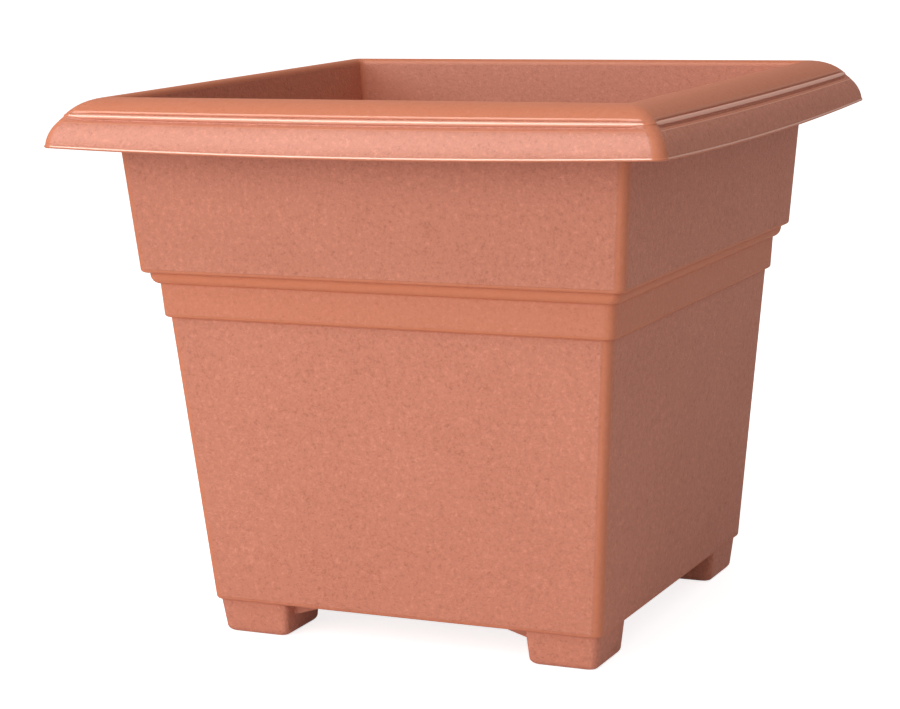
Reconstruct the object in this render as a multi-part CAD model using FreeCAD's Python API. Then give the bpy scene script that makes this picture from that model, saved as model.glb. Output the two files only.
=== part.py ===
import FreeCAD, Part
import math
import os

# Square tub planter: one thin-walled plastic moulding with a rolled rim, a stepped wall and four
# hollow feet, and a drain plug pushed up into each hole of its floor.
# Millimetres, +Z up. The origin is on the ground under the middle of the floor, the front faces -Y.

# Overall
rim_width = 381.0            # across the rim at its lip, flat to flat
tub_height = 328.0           # ground to crest
wall = 2.5                   # thickness of walls, floor and feet
wall_corner = 5.5            # outside radius of the upright corners

# Rim, from the crest out: each drop is measured down from the crest
rim_depth = 27.4             # crest to lip at the corners
rim_sag = 3.0                # how much lower the lip hangs at the middle of a side
rim_wall = 2.3
crest_inset = 29.3           # crest, in from the lip
crest_round = 3.0            # round-over from the crest to the inside wall
crest_corner = 3.0           # corner radius at the crest
lip_corner = 7.0             # corner radius at the lip
roll_radius = 26.8
roll_sweep = 42.0            # degrees of arc from the crest to the groove
groove_step = 0.15           # from the roll's end out to the bottom of the groove, and down to it
groove_fall = 1.0
rim_bead_radius = 1.25
rim_bead_step = 0.87         # from the roll's end out to the rim bead's centre, and down to it
rim_bead_fall = 2.42
fascia_step = 4.1            # from there out to the fascia's top, and down to it
fascia_fall = 3.2
fascia_bulge = 1.1
quirk_inset = 2.05           # fine recess between the rim bead and the fascia
quirk_rise = 1.2
lip_round = 0.9
lip_stand = 0.45             # how far the lip stands proud of the fascia

# Wall, from the rim down: each lean is how far a tier comes in on its way down, each step how far
# the next tier is set back
mouth_step = 0.8             # from the crest in to the upper wall
mouth_drop = 5.0             # that place, below the crest
collar_lean = 8.1
collar_edge = 2.0            # rounding of the upper wall's bottom edge
collar_step = 3.8
bead_neck = 0.5
bead_reach = 4.2             # quarter-round bead that carries the collar over the band
bead_rise = 6.5
band_lean = 1.4
band_depth = 20.5
band_height = 196.5          # ground to the band's bottom edge
band_edge = 1.6
band_step = 2.6
wall_lean = 14.5
base_edge = 2.0              # rounding of the wall's bottom edge
foot_height = 21.0           # ground to the wall's bottom edge

# Feet
foot_width = 46.2            # at the floor
foot_step = 2.3              # foot's outer face, in from the wall
foot_outer_lean = 2.2
foot_inner_lean = 1.2
foot_corner = 4.0
foot_edge = 4.2
cove_reach = 28.0            # from the foot's inner face to where its cove meets the floor
cove_drop = 9.0
cove_setback = 10.8          # from the foot's outer face

# Drainage
drain_diameter = 14.0
drain_pitch = 60.0           # middle of the floor to each hole
plug_clearance = 0.05        # radial
plug_reach = 4.5             # shank above the floor
plug_wall = 1.6
plug_head_diameter = 22.0
plug_head_thickness = 2.0
grip_length = 12.0
grip_thickness = 2.4
grip_depth = 4.0
grip_edge = 0.8

# Places that follow from the sizes above: heights from the ground, halves and faces from the axis
bead_height = band_height + band_depth
collar_height = bead_height + bead_rise + bead_neck
floor_top = foot_height + wall
rim_half = rim_width / 2
crest_half = rim_half - crest_inset
mouth_half = crest_half - mouth_step
collar_half = mouth_half - collar_lean
bead_half = collar_half - collar_step
band_top_half = bead_half - bead_reach
band_half = band_top_half - band_lean
shoulder_half = band_half - band_step
base_half = shoulder_half - wall_lean
foot_top_high = base_half - foot_step
foot_sole_high = foot_top_high - foot_outer_lean
foot_top_low = foot_top_high - foot_width
foot_sole_low = foot_top_low + foot_inner_lean
cove_low = foot_top_low - cove_reach
cove_high = foot_top_high - cove_setback
cove_foot = foot_top_low + foot_inner_lean * cove_drop / foot_height

# Steps along each arc of a profile, and how far a cut runs past what it cuts
arc_steps = 2
bead_steps = 2
roll_steps = 3
overrun = 5.0


def turned(shape, quarters):
    """The shape turned about the tub's axis by a number of quarter turns."""
    copy = shape.copy()
    copy.rotate(FreeCAD.Vector(0, 0, 0), FreeCAD.Vector(0, 0, 1), 90 * quarters)
    return copy


def ring(half, corner, height, sag=0.0):
    """Rounded square around the axis, whose sides hang lower in the middle by the sag."""
    reach = half - corner
    elbow = reach + corner * math.sqrt(0.5)
    side_start = FreeCAD.Vector(-reach, -half, height)
    side_end = FreeCAD.Vector(reach, -half, height)
    if sag > 0:
        hanging = Part.BezierCurve()
        hanging.setPoles([side_start, FreeCAD.Vector(0, -half, height - 2 * sag), side_end])
        side = hanging.toShape()
    else:
        side = Part.LineSegment(side_start, side_end).toShape()
    bend_middle = FreeCAD.Vector(elbow, -elbow, height)
    bend_end = FreeCAD.Vector(half, -reach, height)
    bend = Part.Arc(side_end, bend_middle, bend_end).toShape()
    return Part.Wire([turned(edge, quarters) for quarters in range(4) for edge in (side, bend)])


def pad(low, high, corner, height):
    """Square that reaches from low to high along both +X and -Y, rounded where it has a corner radius."""
    if corner > 0:
        outline = ring((high - low) / 2, corner, height)
        outline.translate(FreeCAD.Vector((low + high) / 2, -(low + high) / 2, 0))
        return outline
    corners = [(low, -high), (high, -high), (high, -low), (low, -low), (low, -high)]
    return Part.makePolygon([FreeCAD.Vector(x, y, height) for x, y in corners])


def bend_points(middle, across, along, start, end, steps=arc_steps):
    """Points of an ellipse's arc in the plane of half-width and height, by angle in degrees."""
    points = []
    for step in range(steps + 1):
        angle = math.radians(start + (end - start) * step / steps)
        points.append((middle[0] + across * math.cos(angle), middle[1] + along * math.sin(angle)))
    return points


def bulged_points(start, end, bulge, steps=arc_steps):
    """Points of the arc from start to end that stands out to the left of its chord by the bulge."""
    chord = math.dist(start, end)
    radius = bulge / 2 + chord ** 2 / (8 * bulge)
    heading = math.atan2(end[1] - start[1], end[0] - start[0])
    half_sweep = math.asin(chord / (2 * radius))
    to_middle = heading - math.pi / 2
    middle = ((start[0] + end[0]) / 2 + (radius - bulge) * math.cos(to_middle),
              (start[1] + end[1]) / 2 + (radius - bulge) * math.sin(to_middle))
    first = math.degrees(heading + math.pi / 2 + half_sweep)
    return bend_points(middle, radius, radius, first, first - math.degrees(2 * half_sweep), steps)


def edge_rings(half, height, edge):
    """Rings around the rounded bottom edge of a tier of the wall."""
    points = bend_points((half - edge, height + edge), edge, edge, -90, 0)
    return [ring(point[0], wall_corner - (half - point[0]), point[1]) for point in points]


def outer_wall():
    """Rings up the outside of the wall, from its bottom edge to the rim."""
    rings = edge_rings(base_half, foot_height, base_edge)
    rings.append(ring(shoulder_half, wall_corner, band_height))
    rings += edge_rings(band_half, band_height, band_edge)
    bead_middle = (band_top_half, bead_height + bead_rise)
    bead = bend_points(bead_middle, bead_reach, bead_rise, -90, 0, bead_steps)
    rings += [ring(half, wall_corner, height) for half, height in bead + [(bead_half, collar_height)]]
    rings += edge_rings(collar_half, collar_height, collar_edge)
    rings.append(ring(mouth_half, wall_corner, tub_height - mouth_drop))
    return rings


def rim_ring(point, inner=0.0):
    """Ring at a half-width and a drop below the crest; the corner radius grows towards the lip."""
    half, drop = point
    corner = crest_corner + (lip_corner - crest_corner) * (half - crest_half) / crest_inset - inner
    return ring(half, corner, tub_height - drop, rim_sag * drop / rim_depth)


def roll_points(inset, start):
    """Points of the roll from an angle down to its end, moved in from its outside by the inset."""
    radius = roll_radius - inset
    steps = roll_steps if start == -90 else roll_steps - 1
    return bend_points((crest_half, roll_radius), radius, radius, start, roll_sweep - 90, steps)


def fascia_top():
    """Half-width and drop of the rim bead's centre and of the fascia's top, out from the roll's end."""
    roll_end = roll_points(0.0, -90)[-1]
    bead_middle = (roll_end[0] + rim_bead_step, roll_end[1] + rim_bead_fall)
    return bead_middle, (bead_middle[0] + fascia_step, bead_middle[1] + fascia_fall)


def rim_points():
    """Profile of the rim's outside, from the lip up to the crest, as half-widths and drops."""
    bead_middle, top = fascia_top()
    lip = (rim_half - lip_stand, rim_depth - 2 * lip_round)
    lip_middle = (rim_half - lip_round, rim_depth - lip_round)
    points = bend_points(lip_middle, lip_round, lip_round, 90, 0)
    points += bulged_points(lip, top, fascia_bulge)
    points.append((top[0] - quirk_inset, top[1] - quirk_rise))
    points += bend_points(bead_middle, rim_bead_radius, rim_bead_radius, 30, -120, bead_steps)
    roll = roll_points(0.0, -90)
    points.append((roll[-1][0] + groove_step, roll[-1][1] + groove_fall))
    return points + roll[::-1]


def underside_points():
    """Profile under the rim, from the wall out to the lip, one rim wall inside its outside."""
    top = fascia_top()[1]
    points = roll_points(rim_wall, -90 + roll_sweep / roll_steps)
    points.append((top[0] - rim_wall, top[1] + rim_wall))
    points.append((rim_half - lip_round - rim_wall / 2, rim_depth))
    return points


def inner_wall():
    """Rings down the inside, from the crest's round-over to the floor, one wall inside the outer."""
    corner = wall_corner - wall
    over = bend_points((crest_half, tub_height - crest_round), crest_round, crest_round, 90, 180)
    rings = [ring(half, crest_corner, height) for half, height in over[1:]]
    points = [
        (collar_half, collar_height),
        (bead_half, collar_height),
        (band_top_half, bead_height),
        (band_half, band_height),
        (shoulder_half, band_height),
        (base_half, floor_top),
    ]
    rings += [ring(half - wall, corner, height + wall) for half, height in points]
    rings.append(ring(base_half - 2 * wall, corner, floor_top))
    return rings


def shell():
    """The moulding without its feet: one profile carried around the rounded square."""
    rings = outer_wall()
    rings += [rim_ring(point, rim_wall / 2) for point in underside_points()]
    rings += [rim_ring(point) for point in rim_points()]
    rings += inner_wall()
    faces = [Part.Face(rings[0]), Part.Face(rings[-1])]
    for ring_before, ring_after in zip(rings, rings[1:]):
        pairs = zip(ring_before.Edges, ring_after.Edges)
        faces += [Part.makeRuledSurface(*pair) for pair in pairs]
    skin = Part.Shell(faces)
    skin.sewShape()
    return Part.Solid(skin)


def foot_solid():
    """Outside of one foot, with the cove that spreads it into the floor."""
    sole = (foot_sole_low + foot_edge, foot_sole_high - foot_edge)
    bend = bend_points((0.0, foot_edge), foot_edge, foot_edge, -90, 0)
    sections = [pad(sole[0] - out, sole[1] + out, foot_corner, height) for out, height in bend]
    sections.append(pad(foot_top_low, foot_top_high, foot_corner, foot_height + wall / 2))
    foot = Part.makeLoft(sections, True, True)
    cove = Part.makeLoft([
        pad(cove_foot, cove_high, 0, foot_height - cove_drop),
        pad(cove_low, cove_high, 0, foot_height),
        pad(cove_low, cove_high, 0, foot_height + wall / 2),
    ], True, True)
    return foot.fuse(cove)


def well_solid():
    """Hollow of one foot, open to the inside of the tub, one wall inside the foot."""
    corner = foot_corner - wall / 2
    well = Part.makeLoft([
        pad(foot_sole_low + wall, foot_sole_high - wall, corner, wall),
        pad(foot_top_low + wall, foot_top_high - wall, corner, floor_top + overrun),
    ], True, True)
    cove = Part.makeLoft([
        pad(cove_foot + wall, cove_high - wall, 0, floor_top - cove_drop),
        pad(cove_low + wall, cove_high - wall, 0, floor_top),
        pad(cove_low + wall, cove_high - wall, 0, floor_top + overrun),
    ], True, True)
    return well.fuse(cove)


def drain_place():
    """Middle of the front drain hole, on the floor's underside."""
    return FreeCAD.Vector(0, -drain_pitch, foot_height)


def tub():
    """The moulding with its feet, foot wells and drain holes."""
    body = shell()
    foot = foot_solid()
    body = body.fuse([turned(foot, quarters) for quarters in range(4)])
    well = well_solid()
    start = drain_place() - FreeCAD.Vector(0, 0, overrun)
    hole = Part.makeCylinder(drain_diameter / 2, wall + 2 * overrun, start)
    hollows = [turned(hollow, quarters) for quarters in range(4) for hollow in (well, hole)]
    return body.cut(hollows)


def drain_plug():
    """Push-in plug for the front hole: hollow shank, head under the floor, grip across the head."""
    shank = drain_diameter / 2 - plug_clearance
    bore = shank - plug_wall
    head = plug_head_diameter / 2
    tip = wall + plug_reach
    profile = [
        (0, -plug_head_thickness),
        (head, -plug_head_thickness),
        (head, 0),
        (shank, 0),
        (shank, tip),
        (bore, tip),
        (bore, 0),
        (0, 0),
    ]
    outline = [FreeCAD.Vector(radius, 0, height) for radius, height in profile]
    face = Part.Face(Part.makePolygon(outline + outline[:1]))
    plug = face.revolve(FreeCAD.Vector(0, 0, 0), FreeCAD.Vector(0, 0, 1), 360)
    corner = FreeCAD.Vector(-grip_length / 2, -grip_thickness / 2, -plug_head_thickness - grip_depth)
    grip = Part.makeBox(grip_length, grip_thickness, grip_depth + plug_head_thickness / 2, corner)
    low_edges = [edge for edge in grip.Edges
                 if edge.BoundBox.ZMax < corner.z + grip_edge and edge.Length > grip_thickness + grip_edge]
    grip = grip.makeChamfer(grip_edge, low_edges)
    plug = plug.fuse(grip)
    plug.translate(drain_place())
    return plug


def save(name, shape):
    """Write one node's solid to its own file."""
    solid = shape.Solids[0]
    solid.exportStep("parts/" + name + ".step")
    print(name, len(shape.Solids), "solid", solid.isValid(), round(solid.Volume), solid.BoundBox)


os.makedirs("parts", exist_ok=True)
save("tub", tub())
plug = drain_plug()
for quarters, side in enumerate(("front", "right", "rear", "left")):
    save("drain_plug_" + side, turned(plug, quarters))
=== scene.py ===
import math

import bmesh
import bpy
import numpy as np
from mathutils import Matrix


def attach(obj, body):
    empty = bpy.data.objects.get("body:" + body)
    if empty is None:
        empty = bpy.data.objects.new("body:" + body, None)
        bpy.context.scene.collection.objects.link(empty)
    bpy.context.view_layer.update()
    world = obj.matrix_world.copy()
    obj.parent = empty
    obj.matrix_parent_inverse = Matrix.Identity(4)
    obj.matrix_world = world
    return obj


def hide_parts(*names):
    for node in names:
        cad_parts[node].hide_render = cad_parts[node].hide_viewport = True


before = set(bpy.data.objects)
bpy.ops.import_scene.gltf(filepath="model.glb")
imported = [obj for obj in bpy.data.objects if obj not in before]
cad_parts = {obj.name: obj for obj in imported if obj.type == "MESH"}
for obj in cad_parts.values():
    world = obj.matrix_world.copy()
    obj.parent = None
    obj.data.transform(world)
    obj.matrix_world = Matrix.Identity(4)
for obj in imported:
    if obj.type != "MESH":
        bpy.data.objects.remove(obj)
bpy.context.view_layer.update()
millimetre = 0.001
mergeDistance = 2e-6    # metres, below which two points of a piece become one
sharpAngle = 40.0       # degrees between two faces, above which the edge between them stays sharp
print("stage: frame loaded,", len(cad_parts), "nodes")


# Surfaces

cutLimit = 0.98     # share of the run between two corners that their two cuts may take together
guardLimit = 0.3    # share of what the cuts leave of a run that one guard may take
tiny = 1e-9         # keeps a division by no cut at all finite


def roundedPath(rows, steps, guard):
    # Rows are half-width, height, corner radius, sag, cut before, cut after. Each inner row V becomes the
    # arc from T1 to T2, which lie one cut away from V towards its neighbours:
    # P(s) = ((1-s)^2 T1 + 2 w s (1-s) V + s^2 T2) / ((1-s)^2 + 2 w s (1-s) + s^2), w = cos(turn / 2).
    # One more point a guard away from each end keeps the flat beside the arc flat in smooth shading.
    rows = np.array(rows, float)
    values, cuts = rows[:, :4], rows[:, 4:6].copy()
    step = values[1:] - values[:-1]
    length = np.hypot(step[:, 0], step[:, 1])
    asked = cuts[:-1, 1] + cuts[1:, 0]
    share = np.minimum(1.0, cutLimit * length / np.maximum(asked, tiny))
    cuts[:-1, 1] *= share
    cuts[1:, 0] *= share
    spare = length - cuts[:-1, 1] - cuts[1:, 0]
    heading = step / length[:, None]
    lead = np.minimum(guard, guardLimit * spare)
    corner = values[1:-1]
    start = corner - heading[:-1] * cuts[1:-1, :1]
    end = corner + heading[1:] * cuts[1:-1, 1:]
    cosTurn = (heading[:-1, :2] * heading[1:, :2]).sum(1)
    weight = np.cos(np.arccos(np.clip(cosTurn, -1, 1)) / 2)[:, None, None]
    s = np.linspace(0, 1, steps + 1)[None, :, None]
    first, middle, last = (1 - s) ** 2, 2 * weight * s * (1 - s), s ** 2
    arcs = first * start[:, None] + middle * corner[:, None] + last * end[:, None]
    arcs /= first + middle + last
    before = (start - heading[:-1] * lead[:-1, None])[:, None]
    after = (end + heading[1:] * lead[1:, None])[:, None]
    path = np.concatenate([before, arcs, after], axis=1).reshape(-1, 4)
    return np.vstack([values[:1], path, values[-1:]])


def squareColumns(shares, bendSteps):
    # Columns of a rounded square: t runs -1..1 along a side, a runs 0..90 degrees round the corner after
    # it, and q is the quarter turn that both belong to
    t = np.concatenate([shares[:-1], np.ones(bendSteps)])
    a = np.concatenate([np.zeros(len(shares) - 1), np.linspace(0, math.pi / 2, bendSteps + 1)[:-1]])
    return np.tile(t, 4), np.tile(a, 4), np.repeat(np.arange(4) * math.pi / 2, len(t))


def squareRings(half, corner, height, sag, columns):
    # u = (h - r) t + r sin a and v = -(h - r + r cos a), turned by q about the origin,
    # and z = height - sag (1 - t^2), for half-width h and corner radius r
    t, a, q = columns
    half, corner, height, sag = (np.asarray(row, float)[:, None] for row in (half, corner, height, sag))
    u = (half - corner) * t + corner * np.sin(a)
    v = -(half - corner + corner * np.cos(a))
    x = u * np.cos(q) - v * np.sin(q)
    y = u * np.sin(q) + v * np.cos(q)
    z = np.broadcast_to(height - sag * (1 - t ** 2), x.shape)
    return np.stack([x, y, z], axis=-1)


def flatGrid(across, along, height):
    # x and y step evenly over a rectangle, z stays at the height
    x, y = np.meshgrid(across, along)
    return np.stack([x, y, np.full_like(x, height)], axis=-1)


def quarterTurned(grid, quarters):
    # (x, y) becomes (-y, x) once for each quarter
    turn = np.array([[0.0, 1.0, 0.0], [-1.0, 0.0, 0.0], [0.0, 0.0, 1.0]])
    return grid @ np.linalg.matrix_power(turn, quarters)


def meshPiece(name, patches):
    # Grids of points joined into one closed mesh. A patch is its points, whether its columns close
    # into a ring, and a share from 0 to 1 per point that says how polished the surface is there and where a
    # highlight is painted
    points, faces, polish, start = [], [], [], 0
    for grid, closed, share in patches:
        rowCount, columnCount = grid.shape[:2]
        here = np.arange(rowCount - 1)[:, None] * columnCount
        above = here + columnCount
        j = np.arange(columnCount if closed else columnCount - 1)[None, :]
        k = (j + 1) % columnCount
        quads = [here + j, here + k, above + k, above + j]
        faces.append(np.stack(quads, axis=-1).reshape(-1, 4) + start)
        points.append(grid.reshape(-1, 3))
        polish.append(np.broadcast_to(share, (rowCount, columnCount)).ravel())
        start += rowCount * columnCount
    mesh = bpy.data.meshes.new(name)
    mesh.from_pydata(np.vstack(points) * millimetre, [], np.vstack(faces).tolist())
    layer = mesh.attributes.new("polish", "FLOAT", "POINT")
    layer.data.foreach_set("value", np.concatenate(polish).astype(np.float32))
    work = bmesh.new()
    work.from_mesh(mesh)
    bmesh.ops.remove_doubles(work, verts=work.verts, dist=mergeDistance)
    bmesh.ops.recalc_face_normals(work, faces=work.faces)
    openEdges = sum(not edge.is_manifold for edge in work.edges)
    work.to_mesh(mesh)
    work.free()
    mesh.polygons.foreach_set("use_smooth", np.ones(len(mesh.polygons), bool))
    mesh.set_sharp_from_angle(angle=math.radians(sharpAngle))
    piece = bpy.data.objects.new(name, mesh)
    bpy.context.scene.collection.objects.link(piece)
    print("stage:", name, len(mesh.polygons), "faces,", openEdges, "open edges")
    return piece


# Tub

tub = {    # millimetres and degrees; a pair is half-width and height, unless its name or a note says more
    "rimHalf": 190.5, "height": 328.0, "wall": 2.5, "wallCorner": 5.5,
    # rim
    "crestHalf": 161.2, "crestRound": 3.0, "crestCorner": 3.0, "lipCorner": 7.0,
    "rimDepth": 27.4, "rimSag": 3.0, "rimWall": 2.3,
    "rollRadius": 26.8, "rollSweep": 42.0, "rollEdge": 0.8, "rollUnderFrom": 78.0,
    "lipRound": 0.9, "lipStand": 0.45, "fasciaBulge": 1.1, "fasciaEdge": 0.45, "underEdge": 1.5,
    "fasciaTop": (184.2, 315.1), "ledge": (182.2, 316.1), "quirk": (181.0, 316.4),
    "rimBead": (180.15, 318.4), "rimBeadRadius": 1.25, "beadAngles": (-75.0, 120.0),
    "groove": (178.9, 319.7),
    "cornerForm": {    # takes the place of the same names where two sides meet
        "ledge": (183.3, 316.2), "quirk": (182.3, 317.2), "beadAngles": (-10.0, 70.0),
        "groove": (179.9, 320.35)},
    # walls
    "mouth": (160.4, 323.0), "mouthEdge": 1.0, "collar": (152.3, 224.0), "collarEdge": 2.0,
    "beadHalf": 148.5, "beadCuts": (3.8, 6.2), "bandTop": (144.3, 217.0), "band": (142.9, 196.5),
    "bandEdge": 1.6, "shoulderHalf": 140.3, "shoulderEdge": 0.5, "base": (125.8, 21.0), "baseEdge": 2.0,
    "insideCuts": (1.0, 0.8, 0.8, 0.8, 0.6), "sharpCut": 0.15, "softCut": 0.3,
    # floor: a ring is half-width and corner radius
    "floorTop": 23.5, "floorInset": 0.2, "underRing": (123.75, 3.45), "floorRing": (120.5, 1.0),
    "holeRadius": 7.0, "holePitch": 60.0, "holeEdge": 0.3, "holeRing": 6.0,
    # feet and the wells in them: a pair is how far the nearer and the farther side stand from the middle
    "footTop": (77.3, 123.5), "footSole": (78.5, 121.3), "footCorner": 4.0, "footEdge": 4.2,
    "footFillet": 0.25, "footFlat": 0.05, "soleGap": 1.0, "soleInner": 18.0,
    "wellTop": (80.0, 119.9), "wellFloor": (81.0, 118.3), "wellCorner": 2.75, "wellEdge": 0.4,
    "wellFillet": 1.2, "wellFlat": 0.04, "wellInner": 14.0, "innerCorner": 1.0,
    "coveReach": 28.5, "wellCoveReach": 28.0, "coveDrop": 9.0, "coveMargin": 1.5, "coveRing": 3.0,
    "coveFold": (-0.6, -0.2, 0.2, 0.7),    # rings beside the height at which the cove starts
    "footCoveEnd": 0.61, "wellCoveEnd": 0.56, "footShare": 0.3,    # shares of half a foot's side
    "coveSteps": (-0.02, 0.0, 0.06, 0.08),    # columns beside the cove's end, clear of it from the third
    "ringGap": 0.3, "wallGap": 0.5,    # from an edge, a fillet or a cove to the ring beside it
    # mesh
    "arcSteps": 6, "holeSteps": 3, "bendSteps": 8, "sideSteps": 16, "cellShare": 1 / 3, "guard": 0.5,
    # polish: the share at a line of the section, and on the run after it; shares above 0.85 also get a painted
    # highlight, a pale colour along that line
    # corners: smoother, with a painted orange sheen down them, and too low for the painted highlight
    "cornerPolishAndPaintedSheen": 0.7,
    "polish": {
        "base": (0.5, 0.0), "shoulder": (0.5, 0.7), "band": (0.8, 0.4), "bandTop": (0.6, 0.8),
        "bead": (0.8, 0.8), "collar": (0.7, 0.0), "underLip": (0.5, 0.8), "lipFoot": (0.5, 1.0),
        "lip": (1.0, 1.0), "fasciaFoot": (0.5, 0.0), "fasciaTop": (0.92, 0.3), "ledge": (0.3, 0.0),
        "rimBeadFoot": (0.2, 0.9), "rimBead": (1.0, 1.0), "rimBeadEnd": (0.8, 0.0), "roll": (0.9, 0.7),
        "rollTop": (0.7, 0.7), "crest": (0.8, 0.2)},
}
matt = 0.0    # no polish


def tubProfile(g):
    # Closed outline of the moulding's section, from under the floor's edge, up the outside, over the
    # rim and down the inside to the floor's top
    sharp, soft = g["sharpCut"], g["softCut"]

    def row(half, height, corner, sag=0.0, cut=0.0, cutAfter=0.0, part=None):
        # one line of the section, as roundedPath takes it, and then its polish and that of the run after it
        return half, height, corner, sag, cut, cutAfter, *g["polish"].get(part, (matt, matt))

    def rimRow(half, height, cut, part=None, inner=0.0):
        # the corner radius grows from crest to lip, and so does the sag
        growth = (half - g["crestHalf"]) / (g["rimHalf"] - g["crestHalf"])
        corner = g["crestCorner"] + (g["lipCorner"] - g["crestCorner"]) * growth - inner
        sag = g["rimSag"] * (g["height"] - height) / g["rimDepth"]
        return row(half, height, corner, sag, cut, cut, part)

    def wallRow(half, height, cut, part=None, inner=0.0, cutAfter=None):
        corner = g["wallCorner"] - inner
        return row(half, height, corner, 0.0, cut, cut if cutAfter is None else cutAfter, part)

    def around(middle, radius, angle, spread=0.0):
        # corner of the tangents at both ends of an arc: it stands on the arc's middle angle
        reach = radius / math.cos(math.radians(spread / 2))
        return (middle[0] + reach * math.cos(math.radians(angle)),
                middle[1] + reach * math.sin(math.radians(angle)))

    lipHeight = g["height"] - g["rimDepth"]
    rollMiddle = (g["crestHalf"], g["height"] - g["rollRadius"])
    rollTangent = g["rollRadius"] * math.tan(math.radians(g["rollSweep"] / 2))
    rollStart = (rollMiddle[0] + g["rollRadius"] * math.sin(math.radians(g["rollSweep"])),
                 rollMiddle[1] + g["rollRadius"] * math.cos(math.radians(g["rollSweep"])))
    innerRadius = g["rollRadius"] - g["rimWall"]
    innerFrom, innerTo = g["rollUnderFrom"], 90.0 - g["rollSweep"]
    innerSpread = innerFrom - innerTo
    innerTangent = innerRadius * math.tan(math.radians(innerSpread / 2))
    fasciaTop = g["fasciaTop"]
    fasciaFoot = (g["rimHalf"] - g["lipStand"], lipHeight + 2 * g["lipRound"])
    fasciaRun = (fasciaTop[0] - fasciaFoot[0], fasciaTop[1] - fasciaFoot[1])
    fasciaLength = math.hypot(*fasciaRun)
    # the bulge's corner stands twice as far out as its arc
    fasciaCorner = (
        (fasciaTop[0] + fasciaFoot[0]) / 2 + 2 * g["fasciaBulge"] * fasciaRun[1] / fasciaLength,
        (fasciaTop[1] + fasciaFoot[1]) / 2 - 2 * g["fasciaBulge"] * fasciaRun[0] / fasciaLength)
    bead, beadRadius = g["rimBead"], g["rimBeadRadius"]
    beadFrom, beadTo = g["beadAngles"]
    beadSpread = (beadTo - beadFrom) / 2
    beadTangent = beadRadius * math.tan(math.radians(beadSpread / 2))
    beadLow = around(bead, beadRadius, beadFrom + beadSpread / 2, beadSpread)
    beadHigh = around(bead, beadRadius, beadTo - beadSpread / 2, beadSpread)
    underRim = g["rimWall"] / 2
    crestRound = g["crestRound"]
    wall = g["wall"]

    outside = [
        row(g["underRing"][0], g["base"][1], g["underRing"][1]),
        wallRow(*g["base"], g["baseEdge"], "base"),
        wallRow(g["shoulderHalf"], g["band"][1], g["shoulderEdge"], "shoulder"),
        wallRow(*g["band"], g["bandEdge"], "band"),
        wallRow(*g["bandTop"], soft, "bandTop"),
        wallRow(g["beadHalf"], g["bandTop"][1], g["beadCuts"][0], "bead", cutAfter=g["beadCuts"][1]),
        wallRow(g["beadHalf"], g["collar"][1], soft, "bead"),
        wallRow(*g["collar"], g["collarEdge"], "collar"),
        wallRow(*g["mouth"], g["mouthEdge"]),
    ]
    underside = [
        rimRow(*around(rollMiddle, innerRadius, innerFrom), soft, inner=underRim),
        rimRow(*around(rollMiddle, innerRadius, (innerFrom + innerTo) / 2, innerSpread), innerTangent,
               inner=underRim),
        rimRow(*around(rollMiddle, innerRadius, innerTo), soft, inner=underRim),
        rimRow(fasciaTop[0] - g["rimWall"], fasciaTop[1] - g["rimWall"], g["underEdge"], inner=underRim),
        rimRow(g["rimHalf"] - g["lipRound"] - underRim, lipHeight, soft, "underLip", underRim),
    ]
    rim = [
        rimRow(g["rimHalf"], lipHeight, g["lipRound"], "lipFoot"),
        rimRow(g["rimHalf"], lipHeight + g["lipRound"] + soft, soft, "lip"),
        rimRow(*fasciaFoot, sharp, "fasciaFoot"),
        rimRow(*fasciaCorner, fasciaLength),
        rimRow(*fasciaTop, g["fasciaEdge"], "fasciaTop"),
        rimRow(*g["ledge"], sharp, "ledge"),
        rimRow(*g["quirk"], sharp),
        rimRow(*around(bead, beadRadius, beadFrom), sharp, "rimBeadFoot"),
        rimRow(*beadLow, beadTangent, "rimBead"),
        rimRow(*beadHigh, beadTangent, "rimBead"),
        rimRow(*around(bead, beadRadius, beadTo), sharp, "rimBeadEnd"),
        rimRow(*g["groove"], sharp),
        rimRow(*rollStart, g["rollEdge"], "roll"),
        rimRow(g["crestHalf"] + rollTangent, g["height"], rollTangent, "rollTop"),
        row(g["crestHalf"] - crestRound, g["height"], g["crestCorner"], 0.0, crestRound, crestRound, "crest"),
    ]
    steps = [g["collar"], (g["beadHalf"], g["collar"][1]), g["bandTop"], g["band"],
             (g["shoulderHalf"], g["band"][1])]
    inside = [wallRow(half - wall, height + wall, cut, inner=wall)
              for (half, height), cut in zip(steps, g["insideCuts"])]
    inside.append(wallRow(g["base"][0] - wall - g["floorInset"], g["floorTop"], wall, inner=wall))
    inside.append(row(g["floorRing"][0], g["floorTop"], g["floorRing"][1]))

    rows = np.array(outside + underside + rim + inside)
    edgePolish, runPolish = rows[:, 6], rows[:, 7]
    arcs = np.repeat(edgePolish[1:-1, None], g["arcSteps"] + 1, axis=1)
    polish = np.column_stack([runPolish[:-2], arcs, runPolish[1:-1]]).ravel()
    polish = np.concatenate([runPolish[:1], polish, runPolish[-2:-1]])
    return roundedPath(rows[:, :6], g["arcSteps"], g["guard"]), polish


def sideShares():
    # Shares along a side: the middle cell's run between two equal runs out to the corners
    g = tub
    outer = np.linspace(g["cellShare"], 1, g["sideSteps"] + 1)
    middle = np.linspace(-g["cellShare"], g["cellShare"], g["sideSteps"] + 1)
    return np.concatenate([-outer[::-1][:-1], middle[:-1], outer])


def footShares(coveEnd):
    # Shares along a side of a foot, close together where its cove ends
    ends = np.concatenate([[tub["footShare"]], coveEnd + np.array(tub["coveSteps"]), [1.0]])
    return np.concatenate([-ends[::-1], [0.0], ends])


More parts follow.
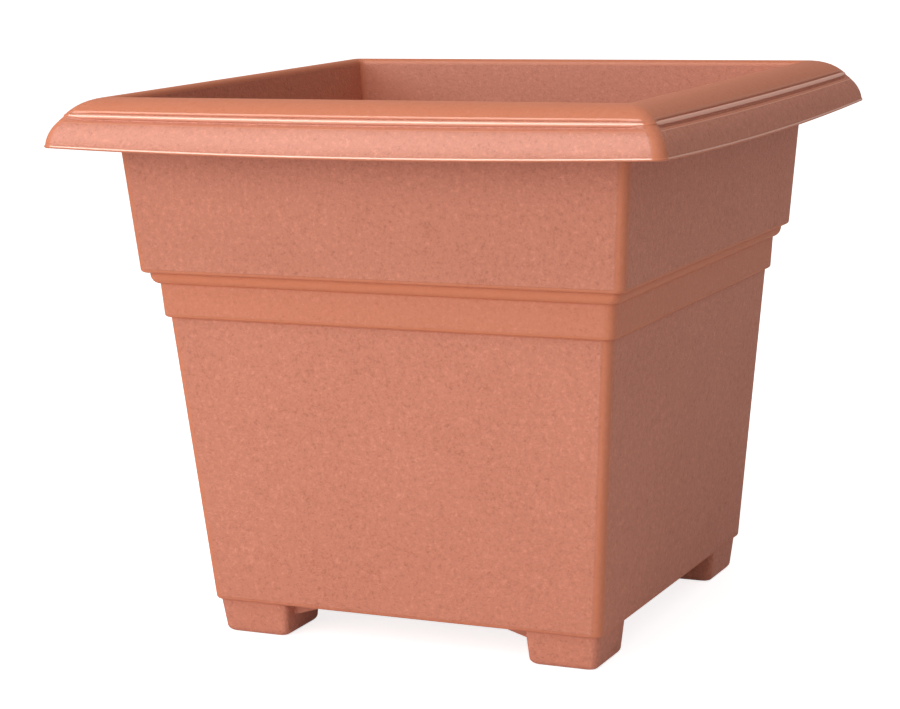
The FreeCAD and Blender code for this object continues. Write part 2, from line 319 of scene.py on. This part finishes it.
def coveSpread(coveEnd, bendSteps, whole):
    # How a foot's columns move per millimetre of cove: the two inner sides go out, and stretch towards
    # the corner between them, up to the share where the cove ends. With whole = 1 the sides go out up to
    # their outer ends, and half of each corner there stretches along the tub's wall: that ring clears
    # both coves, and its corners lie opposite those of the cell's outline
    clearShare = coveEnd + tub["coveSteps"][2]
    along = footShares(coveEnd)[:-1]
    ways = along, -along
    reach, reachBack = (np.maximum(whole, np.clip((clearShare - way) / (clearShare - coveEnd), 0, 1))
                        for way in ways)
    stretch, stretchBack = (np.clip((coveEnd - way) / (1 + coveEnd), 0, 1) for way in ways)
    none, full = np.zeros(bendSteps), np.ones(bendSteps)
    bend = 2 * np.arange(bendSteps) / bendSteps
    side = np.zeros(len(along))
    x = np.concatenate([side, none, side, none, -stretchBack, -full, -reach, -whole * np.clip(2 - bend, 0, 1)])
    y = np.concatenate([side, none, side, whole * np.clip(bend, 0, 1), reachBack, full, stretch, none])
    return x, y


def footRings(low, high, corner, height, cove, clear, coveEnd):
    # Rounded squares from low to high along +X and -Y, each with the cove's spread or the clear one
    bendSteps = tub["bendSteps"]
    columns = squareColumns(footShares(coveEnd), bendSteps)
    rings = squareRings((high - low) / 2, corner, height, np.zeros(len(low)), columns)
    coved, cleared = (coveSpread(coveEnd, bendSteps, whole) for whole in (0.0, 1.0))
    middle = (low + high)[:, None] / 2
    rings[..., 0] += middle + cove[:, None] * coved[0] + clear[:, None] * cleared[0]
    rings[..., 1] += -middle + cove[:, None] * coved[1] + clear[:, None] * cleared[1]
    return np.roll(rings, bendSteps // 2, axis=1)


def leaningSides(start, end, share, inset, flare):
    # Nearer and farther side: a line from the start's pair to the end's, closed in and spread again
    low, high = (first + (last - first) * share for first, last in zip(start, end))
    return low + inset - flare, high - inset + flare


def cellOutline(half, corner, height):
    # Outline of the front right cell of the floor, from its front left corner round to the right:
    # along the front edge, round the tub's corner, up the right edge and back along the two inner lines
    g = tub
    t, a, q = squareColumns(sideShares(), g["bendSteps"])
    n = g["sideSteps"]
    perQuarter = len(t) // 4
    edge = squareRings([half], [corner], [height], [0.0], (t, a, q))[0][2 * n:perQuarter + n + 1]
    inner = g["cellShare"] * (half - corner)
    steps = n + g["bendSteps"] // 2
    run = np.linspace(inner, half, steps + 1)
    far = np.stack([run[::-1][1:], np.full(steps, -inner), np.full(steps, height)], axis=-1)
    near = np.stack([np.full(steps - 1, inner), -run[1:-1], np.full(steps - 1, height)], axis=-1)
    return np.vstack([edge, far, near])


def footPatch():
    # Underside of one corner cell, as rings round the foot: sole, rounded edge, leaning wall, cove,
    # fillet, then out to the cell's outline
    g = tub
    base, edge, fillet = g["base"][1], g["footEdge"], g["footFillet"]
    top = base + g["wall"] / 2
    sweep = np.linspace(0, math.pi / 2, g["arcSteps"] + 1)
    soleInset = np.concatenate([[g["soleInner"], edge + g["soleGap"]], edge * (1 - np.sin(sweep))])
    soleHeight = np.concatenate([[0.0, 0.0], edge * (1 - np.cos(sweep))])
    coveStart = base - g["coveDrop"]
    wallHeight = np.concatenate([[edge + g["wallGap"]], coveStart + np.array(g["coveFold"]),
                                 [base - g["coveRing"], base - fillet - g["ringGap"]]])
    filletHeight = base - fillet * (1 - np.sin(sweep))
    height = np.concatenate([soleHeight, wallHeight, filletHeight, [base, base]])
    flare = np.concatenate([np.zeros(len(soleHeight) + len(wallHeight)), fillet * (1 - np.cos(sweep)),
                            [fillet + g["footFlat"]] * 2])
    inset = np.concatenate([soleInset, np.zeros(len(wallHeight) + len(filletHeight) + 2)])
    share = np.clip((height - edge) / (top - edge), 0, 1)
    low, high = leaningSides(g["footSole"], g["footTop"], share, inset, flare)
    corner = np.where(inset > g["footCorner"], g["innerCorner"], g["footCorner"])
    cove = g["coveReach"] * np.clip((height - coveStart) / g["coveDrop"], 0, 1)
    clear = np.zeros(len(cove))
    cove[-2:] = g["coveReach"] + g["ringGap"], 0.0
    clear[-1] = g["coveReach"] + g["coveMargin"]
    rings = footRings(low, high, corner, height, cove, clear, g["footCoveEnd"])
    pole = np.broadcast_to(rings[:1].mean(axis=1, keepdims=True), rings[:1].shape)
    return np.concatenate([pole, rings, cellOutline(*g["underRing"], base)[None]])


def wellPatch():
    # Top of one corner cell, as rings down into the hollow foot
    g = tub
    top, bottom = g["floorTop"], g["wall"]
    edge, fillet = g["wellEdge"], g["wellFillet"]
    sweep = np.linspace(0, math.pi / 2, g["arcSteps"] + 1)
    edgeHeight = top - edge * (1 - np.cos(sweep))
    edgeFlare = edge * (1 - np.sin(sweep))
    coveStart = top - g["coveDrop"]
    wallHeight = np.concatenate([[top - edge - g["ringGap"], top - g["coveRing"]],
                                 coveStart + np.array(g["coveFold"])[::-1], [bottom + fillet + g["wallGap"]]])
    filletHeight = bottom + fillet * (1 - np.sin(sweep))
    filletInset = fillet * (1 - np.cos(sweep))
    height = np.concatenate([[top, top], edgeHeight, wallHeight, filletHeight, [bottom, bottom]])
    flare = np.concatenate([[edge + g["wellFlat"]] * 2, edgeFlare,
                            np.zeros(len(wallHeight) + len(filletHeight) + 2)])
    inset = np.concatenate([np.zeros(2 + len(edgeHeight) + len(wallHeight)), filletInset,
                            [fillet + g["wallGap"], g["wellInner"]]])
    share = np.clip((height - bottom) / (top - bottom), 0, 1)
    low, high = leaningSides(g["wellFloor"], g["wellTop"], share, inset, flare)
    corner = np.where(inset > g["wellCorner"], g["innerCorner"], g["wellCorner"])
    cove = g["wellCoveReach"] * np.clip((height - coveStart) / g["coveDrop"], 0, 1)
    clear = np.zeros(len(cove))
    cove[:2] = 0.0, g["wellCoveReach"] + g["ringGap"]
    clear[0] = g["wellCoveReach"] + g["coveMargin"]
    rings = footRings(low, high, corner, height, cove, clear, g["wellCoveEnd"])
    pole = np.broadcast_to(rings[-1:].mean(axis=1, keepdims=True), rings[-1:].shape)
    return np.concatenate([cellOutline(*g["floorRing"], top)[None], rings, pole])


def edgeCell(half, corner, height):
    # Outline of the front middle cell, from the left end of its front edge round to the right
    g = tub
    n, side = g["sideSteps"], g["sideSteps"] + g["bendSteps"] // 2
    inner = g["cellShare"] * (half - corner)
    run, back = np.linspace(-inner, inner, n + 1), np.linspace(inner, half, side + 1)
    front = np.stack([run, np.full(n + 1, -half)], axis=-1)
    right = np.stack([np.full(side, inner), -back[::-1][1:]], axis=-1)
    far = np.stack([run[::-1][1:], np.full(n, -inner)], axis=-1)
    left = np.stack([np.full(side, -inner), -back[1:]], axis=-1)[:-1]
    outline = np.vstack([front, right, far, left])
    return np.column_stack([outline, np.full(len(outline), height)])


def drainPatch():
    # Front middle cell, from its underside in to the drain hole, up through the floor and out again:
    # each ring is a circle of radius r about the hole, and its columns point at the cell's outline
    g = tub
    under, over = g["base"][1], g["floorTop"]
    edge, radius = g["holeEdge"], g["holeRadius"]
    low, high = edgeCell(*g["underRing"], under), edgeCell(*g["floorRing"], over)
    angle = np.arctan2(low[:, 1] + g["holePitch"], low[:, 0])
    sweep = np.linspace(0, math.pi / 2, g["holeSteps"] + 1)
    out = edge * (1 - np.sin(sweep))
    rise = edge * (1 - np.cos(sweep))
    outer = np.array([radius + g["holeRing"], radius + edge + g["ringGap"]])
    r = np.concatenate([outer, radius + out, radius + out[::-1], outer[::-1]])
    z = np.concatenate([[under, under], under + rise, over - rise[::-1], [over, over]])
    rings = np.stack([r[:, None] * np.cos(angle), r[:, None] * np.sin(angle) - g["holePitch"],
                      np.broadcast_to(z[:, None], (len(r), len(angle)))], axis=-1)
    return np.concatenate([low[None], rings, high[None]])


def buildTub():
    # The section carried round a rounded square, then four times a foot, a well and a drain hole, and
    # the flat middle of the floor from both sides
    g = tub
    profile, polish = tubProfile(g)
    cornerProfile = tubProfile({**g, **g["cornerForm"]})[0]
    columns = squareColumns(sideShares(), g["bendSteps"])
    # the fine recesses of the rim run out where the sides meet
    rings, cornerRings = (squareRings(half, corner, height, sag, columns)
                          for half, height, corner, sag in (profile.T, cornerProfile.T))
    atCorner, bend = np.abs(columns[0]) == 1, columns[1] > 0
    rings = np.where(atCorner[:, None], cornerRings, rings)
    # at the bends every line of the section takes the corner polish: a painted orange sheen down the corners,
    # and no painted highlight there
    patches = [(rings, True, np.where(bend, g["cornerPolishAndPaintedSheen"], polish[:, None]))]
    cells = footPatch(), wellPatch(), drainPatch()
    for quarter in range(4):
        patches += [(quarterTurned(cell, quarter), True, matt) for cell in cells]
    for (half, corner), height in ((g["underRing"], g["base"][1]), (g["floorRing"], g["floorTop"])):
        inner = g["cellShare"] * (half - corner)
        run = np.linspace(-inner, inner, g["sideSteps"] + 1)
        patches.append((flatGrid(run, run, height), False, matt))
    return meshPiece("tubMoulding", patches)


tubMoulding = buildTub()


# Drain plugs

plug = {    # millimetres; heights are above the head's upper face
    "place": (0.0, -60.0, 21.0), "shankRadius": 6.95, "reach": 7.0, "wall": 1.6,
    "headRadius": 11.0, "headThickness": 2.0, "headEdge": 0.6, "tipEdge": 0.5, "smallEdge": 0.3,
    "boreFoot": ((0.0, 0.8), (0.5, 0.1), (1.0, 0.0)),    # inward from the bore, and height
    "gripHalf": (6.0, 1.2), "gripCorner": 1.1, "leastCorner": 0.2, "gripDepth": 4.0, "gripEdge": 0.8,
    "gripFillet": 0.6, "arcSteps": 5, "longSteps": 12, "shortSteps": 6, "bendSteps": 3, "polish": 0.3,
}


def buildPlug(name, quarter):
    # One closed surface of rings, from the grip's flat end up to the head, round it, up the shank and
    # down its bore. A ring is a circle or the grip's oblong, at one height. The oblong with corner
    # radius c is u = reach t + c sin a and v = -(drop + c cos a), turned by a right angle on its short
    # sides
    g = plug
    sweep = np.linspace(0, math.pi / 2, g["arcSteps"] + 1)
    arc = list(zip(1 - np.sin(sweep), 1 - np.cos(sweep)))    # how far in, and how far up
    longSteps, shortSteps, bendSteps = g["longSteps"], g["shortSteps"], g["bendSteps"]
    t = np.concatenate([np.linspace(-1, 1, longSteps + 1)[:-1], np.ones(bendSteps),
                        np.linspace(-1, 1, shortSteps + 1)[:-1], np.ones(bendSteps)])
    bend = np.linspace(0, math.pi / 2, bendSteps + 1)[:-1]
    a = np.concatenate([np.zeros(longSteps), bend, np.zeros(shortSteps), bend])
    turned = np.repeat([False, True], [longSteps + bendSteps, shortSteps + bendSteps])
    longHalf, shortHalf = g["gripHalf"]
    circle = np.linspace(0, 2 * math.pi, 2 * len(t), endpoint=False) - 0.75 * math.pi    # from a corner on

    def gripRing(inward, corner):
        reach = np.where(turned, shortHalf, longHalf) - inward - corner
        drop = np.where(turned, longHalf, shortHalf) - inward - corner
        u = reach * t + corner * np.sin(a)
        v = -(drop + corner * np.cos(a))
        x, y = np.where(turned, -v, u), np.where(turned, u, v)
        return np.stack([np.concatenate([x, -x]), np.concatenate([y, -y])], axis=-1)

    def circleRing(radius):
        return radius * np.stack([np.cos(circle), np.sin(circle)], axis=-1)

    def withHeight(flat, height):
        return np.column_stack([flat, np.full(len(flat), height)])

    gripCorner, edge, fillet = g["gripCorner"], g["gripEdge"], g["gripFillet"]
    bottom = -g["headThickness"]
    gripEnd = bottom - g["gripDepth"]
    rings = [withHeight(gripRing(0, gripCorner) * 0, gripEnd)]
    rings += [withHeight(gripRing(edge * i, max(gripCorner - edge * i, g["leastCorner"])), gripEnd + edge * r)
              for i, r in arc]
    rings += [withHeight(gripRing(-fillet * r, gripCorner + fillet * r), bottom - fillet * i)
              for i, r in arc]
    head, headEdge, small = g["headRadius"], g["headEdge"], g["smallEdge"]
    shank, tip, tipEdge, bore = g["shankRadius"], g["reach"], g["tipEdge"], g["shankRadius"] - g["wall"]
    profile = [(head - headEdge - small, bottom)]
    profile += [(head - headEdge * i, bottom + headEdge * r) for i, r in arc]
    profile += [(head - small * (1 - i), -small * (1 - r)) for i, r in arc]
    profile += [(shank + small, 0.0), (shank, 0.0), (shank, small), (shank, tip - tipEdge)]
    profile += [(shank - tipEdge * (1 - i), tip - tipEdge * (1 - r)) for i, r in arc]
    profile += [(bore + small * i, tip - small * r) for i, r in arc]
    profile += [(bore, tip - 2 * small)] + [(bore - inward, height) for inward, height in g["boreFoot"]]
    profile += [(0.0, 0.0)]
    rings += [withHeight(circleRing(radius), height) for radius, height in profile]
    grid = np.array(rings) + np.array(g["place"])
    return meshPiece(name, [(quarterTurned(grid, quarter), True, g["polish"])])


drainPlugs = {side: buildPlug("drainPlug" + side.capitalize(), quarter)
              for quarter, side in enumerate(("front", "right", "rear", "left"))}


# Materials

class Signal:
    # One value in a material. + - and * on it add Math nodes, node() adds any other node

    def __init__(self, tree, source):
        self.tree, self.source = tree, source

    def node(self, kind, settings=None, inputs=None, output=0):
        # settings are set first, then inputs get their values or links
        made = self.tree.nodes.new("ShaderNode" + kind)
        for key, value in (settings or {}).items():
            setattr(made, key, value)
        for key, value in (inputs or {}).items():
            if isinstance(value, Signal):
                self.tree.links.new(value.source, made.inputs[key])
            else:
                made.inputs[key].default_value = value
        return Signal(self.tree, made.outputs[output])

    def maths(self, operation, first, second):
        return self.node("Math", {"operation": operation}, {0: first, 1: second})

    def __add__(self, other):
        return self.maths("ADD", self, other)

    def __radd__(self, other):
        return self.maths("ADD", other, self)

    def __sub__(self, other):
        return self.maths("SUBTRACT", self, other)

    def __rsub__(self, other):
        return self.maths("SUBTRACT", other, self)

    def __mul__(self, other):
        return self.maths("MULTIPLY", self, other)

    def __rmul__(self, other):
        return self.maths("MULTIPLY", other, self)

    def smooth(self, low, high):
        # 0 below low, 1 above high, and a soft step between them
        return self.node("MapRange", {"interpolation_type": "SMOOTHSTEP"},
                         {"Value": self, "From Min": low, "From Max": high})

    def blend(self, first, second):
        # mixes two colours by this value: they are inputs 6 and 7, and output 2 is the colour
        return self.node("Mix", {"data_type": "RGBA"}, {0: self, 6: first, 7: second}, 2)

    def noise(self, scale, detail, roughness):
        # noise around noiseMiddle at the coordinates that this value holds
        return self.node("TexNoise", inputs={
            "Vector": self, "Scale": scale, "Detail": detail, "Roughness": roughness})


def newMaterial(name):
    material = bpy.data.materials.new(name)
    material.use_nodes = True
    tree = material.node_tree
    tree.nodes.clear()
    return material, Signal(tree, None)


def finishTree(start, kind, surface):
    made = start.tree.nodes.new("ShaderNodeOutput" + kind)
    start.tree.links.new(surface.source, made.inputs["Surface"])


noiseMiddle = 0.5
plastic = {
    "wallColour": (0.605, 0.231, 0.152, 1.0), "wallDark": (0.485, 0.174, 0.111, 1.0),
    "wallLight": (0.725, 0.291, 0.200, 1.0), "rimColour": (0.645, 0.202, 0.092, 1.0),
    # painted highlight: a pale colour, and its share, laid on the most polished edges from this polish on
    "paintedHighlightColour": (0.86, 0.46, 0.34, 1.0), "paintedHighlightShare": 0.5, "highlightFrom": 0.85,
    # each noise: scale per metre, detail, roughness, and its share in the speckle
    "grain": (1100.0, 2.0, 0.65), "grainShare": 0.8, "pits": (620.0, 1.0, 0.5), "pitShare": 0.8,
    "mottle": (300.0, 3.0, 0.6), "mottleShare": 1.3, "cloud": (14.0, 2.0, 0.5), "cloudShare": 0.3,
    "speckleReach": 0.55, "rimMottle": 0.5, "rimWallShare": 0.25,
    "grainDepth": 0.00045, "rimGrainDepth": 0.00004,    # metres
    "wallRoughness": 0.6, "rimRoughness": 0.42, "grainRoughness": 0.2, "ior": 1.49,
    "coatBase": 0.14, "coatGain": 0.5, "coatRoughness": 0.32, "coatIor": 1.5,
}


def tubMaterial(name, values):
    # Speckled wall and smoother rim, mixed by the polish of the mesh, with a thin gloss coat that
    # grows where the polish is highest, and a painted highlight there: a pale colour along those edges
    material, start = newMaterial(name)
    place = start.node("TexCoord", output="Object")
    polish = start.node("Attribute", {"attribute_name": "polish"}, output=2)    # its single value
    grain, pits, mottle, cloud = (place.noise(*values[noise]) for noise in ("grain", "pits", "mottle", "cloud"))
    speckle = ((grain - noiseMiddle) * values["grainShare"] + (pits - noiseMiddle) * values["pitShare"]
               + (mottle - noiseMiddle) * values["mottleShare"] + (cloud - noiseMiddle) * values["cloudShare"])
    dark = (speckle * -1.0).smooth(0.0, values["speckleReach"])
    light = speckle.smooth(0.0, values["speckleReach"])
    wallColour = light.blend(dark.blend(values["wallColour"], values["wallDark"]), values["wallLight"])
    wallShare = (mottle - noiseMiddle) * values["rimMottle"] + values["rimWallShare"]
    rimColour = wallShare.blend(values["rimColour"], values["wallColour"])
    # painted highlight: the most polished edges (bead, lip, roll's edge) take a pale colour where highlight
    # lines fall; the same mask also thickens the gloss coat
    glossAndPaintedHighlight = polish.smooth(values["highlightFrom"], 1.0)
    colour = (glossAndPaintedHighlight * values["paintedHighlightShare"]).blend(polish.blend(wallColour, rimColour), values["paintedHighlightColour"])
    roughness = values["wallRoughness"] + (grain - noiseMiddle) * values["grainRoughness"]
    roughness = roughness + polish * (values["rimRoughness"] - values["wallRoughness"])
    height = (grain + pits) * ((1 - polish) * values["grainDepth"] + polish * values["rimGrainDepth"])
    bump = start.node("Bump", inputs={"Strength": 1.0, "Distance": 1.0, "Height": height})
    coat = values["coatBase"] + glossAndPaintedHighlight * values["coatGain"]
    # the coat alone shines, so the plastic under it has no gloss of its own
    shader = start.node("BsdfPrincipled", inputs={
        "Base Color": colour, "Roughness": roughness, "Normal": bump, "IOR": values["ior"],
        "Specular IOR Level": 0.0, "Coat Weight": coat, "Coat Roughness": values["coatRoughness"],
        "Coat IOR": values["coatIor"]})
    finishTree(start, "Material", shader)
    return material


tubPlastic = tubMaterial("tubPlastic", plastic)
plugPlastic = tubMaterial("plugPlastic", {
    **plastic, "wallColour": (0.36, 0.11, 0.07, 1.0), "wallDark": (0.28, 0.08, 0.05, 1.0),
    "wallLight": (0.44, 0.15, 0.10, 1.0), "rimColour": (0.36, 0.10, 0.06, 1.0), "grainDepth": 0.00008})

tubMoulding.data.materials.append(tubPlastic)
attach(tubMoulding, "tub")
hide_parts("tub")
for side, piece in drainPlugs.items():
    piece.data.materials.append(plugPlastic)
    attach(piece, "drain_plug_" + side)
    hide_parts("drain_plug_" + side)
print("stage: pieces dressed")


# Floor, lights and camera

studio = {    # metres, degrees and watts
    "floorReach": 30.0, "floorColour": (0.80, 0.80, 0.80, 1.0), "floorGlow": 0.8,
    "white": (1.0, 1.0, 1.0, 1.0), "ambient": 0.43, "aim": (0.0, 0.0, 0.16),
    "key": {"power": 29.0, "size": 2.2, "azimuth": -22.0, "elevation": 16.0, "distance": 2.2},
    "core": {"power": 11.0, "size": 0.4, "azimuth": -20.0, "elevation": 60.0, "distance": 2.2},
    "fill": {"power": 1.0, "size": 1.5, "azimuth": 60.0, "elevation": 45.0, "distance": 2.5},
    "gleam": {"power": 150.0, "size": 2.0, "azimuth": -30.0, "elevation": 36.0, "distance": 2.2},
}
view = {
    "azimuth": 24.98, "elevation": 10.38, "roll": -1.48, "distance": 1.56,
    "target": (-0.01867, -0.00721, 0.1567), "focalPixels": 2506.12, "framePixels": 900, "sensor": 36.0,
}


def directionFrom(azimuth, elevation):
    # back = (sin a cos e, -cos a cos e, sin e)
    a, e = math.radians(azimuth), math.radians(elevation)
    return np.array([math.sin(a) * math.cos(e), -math.cos(a) * math.cos(e), math.sin(e)])


def placed(item, back, distance, target, roll=0.0):
    # Turns an object so that its -Z looks at the target from a distance, with a roll about that line
    right = np.cross(-back, (0.0, 0.0, 1.0))
    right /= np.linalg.norm(right)
    up = np.cross(right, -back)
    cosRoll, sinRoll = math.cos(math.radians(roll)), math.sin(math.radians(roll))
    right, up = right * cosRoll + up * sinRoll, up * cosRoll - right * sinRoll
    matrix = np.eye(4)
    matrix[:3, 0], matrix[:3, 1], matrix[:3, 2] = right, up, back
    matrix[:3, 3] = np.asarray(target) + back * distance
    item.matrix_world = Matrix(matrix.tolist())
    bpy.context.scene.collection.objects.link(item)
    return item


def areaLamp(name, power, size, azimuth, elevation, distance):
    lamp = bpy.data.lights.new(name, "AREA")
    lamp.energy, lamp.size, lamp.shape = power, size, "DISK"
    return placed(bpy.data.objects.new(name, lamp), directionFrom(azimuth, elevation), distance, studio["aim"])


def seenRay(start):
    # 1 for camera, glossy and transmission rays, 0 for the rays that light the pieces
    rays = "Is Camera Ray", "Is Glossy Ray", "Is Transmission Ray"
    camera, glossy, transmission = (start.node("LightPath", output=ray) for ray in rays)
    return start.maths("MAXIMUM", start.maths("MAXIMUM", camera, glossy), transmission)


def floorMaterial():
    material, start = newMaterial("paleFloor")
    diffuse = start.node("BsdfDiffuse", inputs={"Color": studio["floorColour"]})
    glow = start.node("Emission", inputs={
        "Color": studio["white"], "Strength": seenRay(start) * studio["floorGlow"]})
    finishTree(start, "Material", start.node("AddShader", inputs={0: diffuse, 1: glow}))
    return material


floorMesh = bpy.data.meshes.new("studioFloor")
reach = studio["floorReach"]
floorCorners = [(-reach, -reach, 0), (reach, -reach, 0), (reach, reach, 0), (-reach, reach, 0)]
floorMesh.from_pydata(floorCorners, [], [(0, 1, 2, 3)])
floorMesh.materials.append(floorMaterial())
studioFloor = bpy.data.objects.new("studioFloor", floorMesh)
bpy.context.scene.collection.objects.link(studioFloor)

world = bpy.data.worlds.new("studioWorld")
world.use_nodes = True
bpy.context.scene.world = world
world.node_tree.nodes.clear()
sky = Signal(world.node_tree, None)
strength = studio["ambient"] + seenRay(sky) * (1.0 - studio["ambient"])
finishTree(sky, "World", sky.node("Background", inputs={"Color": studio["white"], "Strength": strength}))

for name in ("key", "core", "fill", "gleam"):
    areaLamp(name + "Lamp", **studio[name])
bpy.data.objects["gleamLamp"].visible_diffuse = False    # seen in the gloss alone

cameraData = bpy.data.cameras.new("photoCamera")
cameraData.sensor_fit, cameraData.sensor_width = "HORIZONTAL", view["sensor"]
cameraData.lens = view["focalPixels"] / view["framePixels"] * view["sensor"]
photoCamera = bpy.data.objects.new("photoCamera", cameraData)
cameraBack = directionFrom(view["azimuth"], view["elevation"])
placed(photoCamera, cameraBack, view["distance"], view["target"], view["roll"])
bpy.context.scene.camera = photoCamera
bpy.context.scene.view_settings.view_transform = "Standard"
print("stage: camera and light placed")
